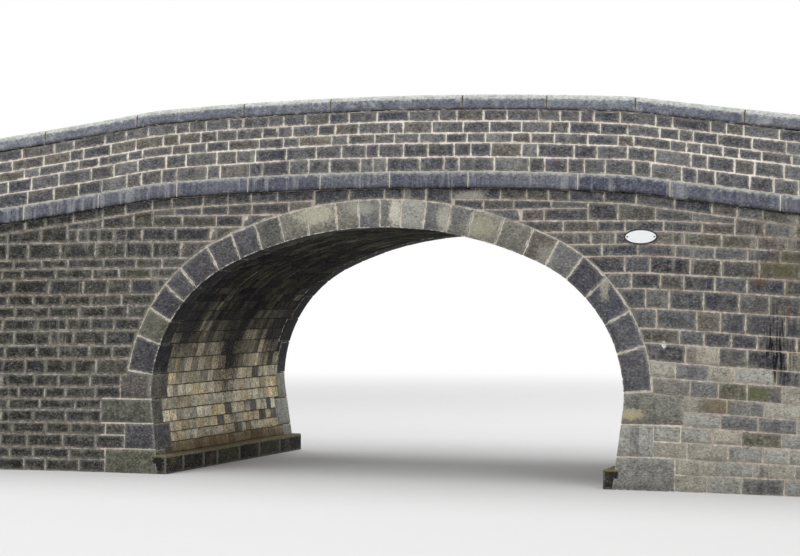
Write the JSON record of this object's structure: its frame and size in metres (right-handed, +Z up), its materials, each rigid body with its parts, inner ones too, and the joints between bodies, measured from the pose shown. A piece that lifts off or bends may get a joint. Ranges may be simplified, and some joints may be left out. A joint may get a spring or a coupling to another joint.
{
  "type": "stone arch bridge",
  "caption": "Humped stone canal bridge: one three-centred arch with battered, curved wing walls, string course, coped parapets and a blank oval plate.",
  "frame": {"origin": "on the water line, under the middle of the arch, half way between the two faces", "axes": "+X along the road, to the right seen from the front face, +Y from the front face to the back face, +Z up"},
  "size_m": [18.6166, 7.2738, 5.515],
  "materials": {
    "walling_stone": "weathered gritstone in pale lime mortar",
    "dressed_stone": "tooled gritstone, weathered pale on its top edges",
    "rubble_fill": "packed rubble and earth",
    "road_metal": "rolled gravel",
    "white_enamel": "gloss white with a black rim"
  },
  "bodies": {
    "root": {"arch_barrel": "walling_stone", "front_parapet": "walling_stone", "back_parapet": "walling_stone", "front_left_arch_ring": "walling_stone", "front_right_arch_ring": "walling_stone", "back_left_arch_ring": "walling_stone", "back_right_arch_ring": "walling_stone", "front_left_spandrel": "walling_stone", "front_right_spandrel": "walling_stone", "back_left_spandrel": "walling_stone", "back_right_spandrel": "walling_stone", "front_left_wing_wall": "walling_stone", "front_right_wing_wall": "walling_stone", "back_left_wing_wall": "walling_stone", "back_right_wing_wall": "walling_stone", "front_left_wing_parapet": "walling_stone", "front_right_wing_parapet": "walling_stone", "back_left_wing_parapet": "walling_stone", "back_right_wing_parapet": "walling_stone", "left_abutment": "walling_stone", "right_abutment": "walling_stone", "left_footing": "walling_stone", "right_footing": "walling_stone", "front_string_course": "dressed_stone", "back_string_course": "dressed_stone", "front_coping": "dressed_stone", "back_coping": "dressed_stone", "front_left_wing_string_course": "dressed_stone", "front_right_wing_string_course": "dressed_stone", "back_left_wing_string_course": "dressed_stone", "back_right_wing_string_course": "dressed_stone", "front_left_wing_coping": "dressed_stone", "front_right_wing_coping": "dressed_stone", "back_left_wing_coping": "dressed_stone", "back_right_wing_coping": "dressed_stone", "front_left_end_pier": "dressed_stone", "front_right_end_pier": "dressed_stone", "back_left_end_pier": "dressed_stone", "back_right_end_pier": "dressed_stone", "spandrel_fill": "rubble_fill", "left_approach_fill": "rubble_fill", "right_approach_fill": "rubble_fill", "roadway": "road_metal", "oval_plaque": "white_enamel"}
  },
  "joints": []
}
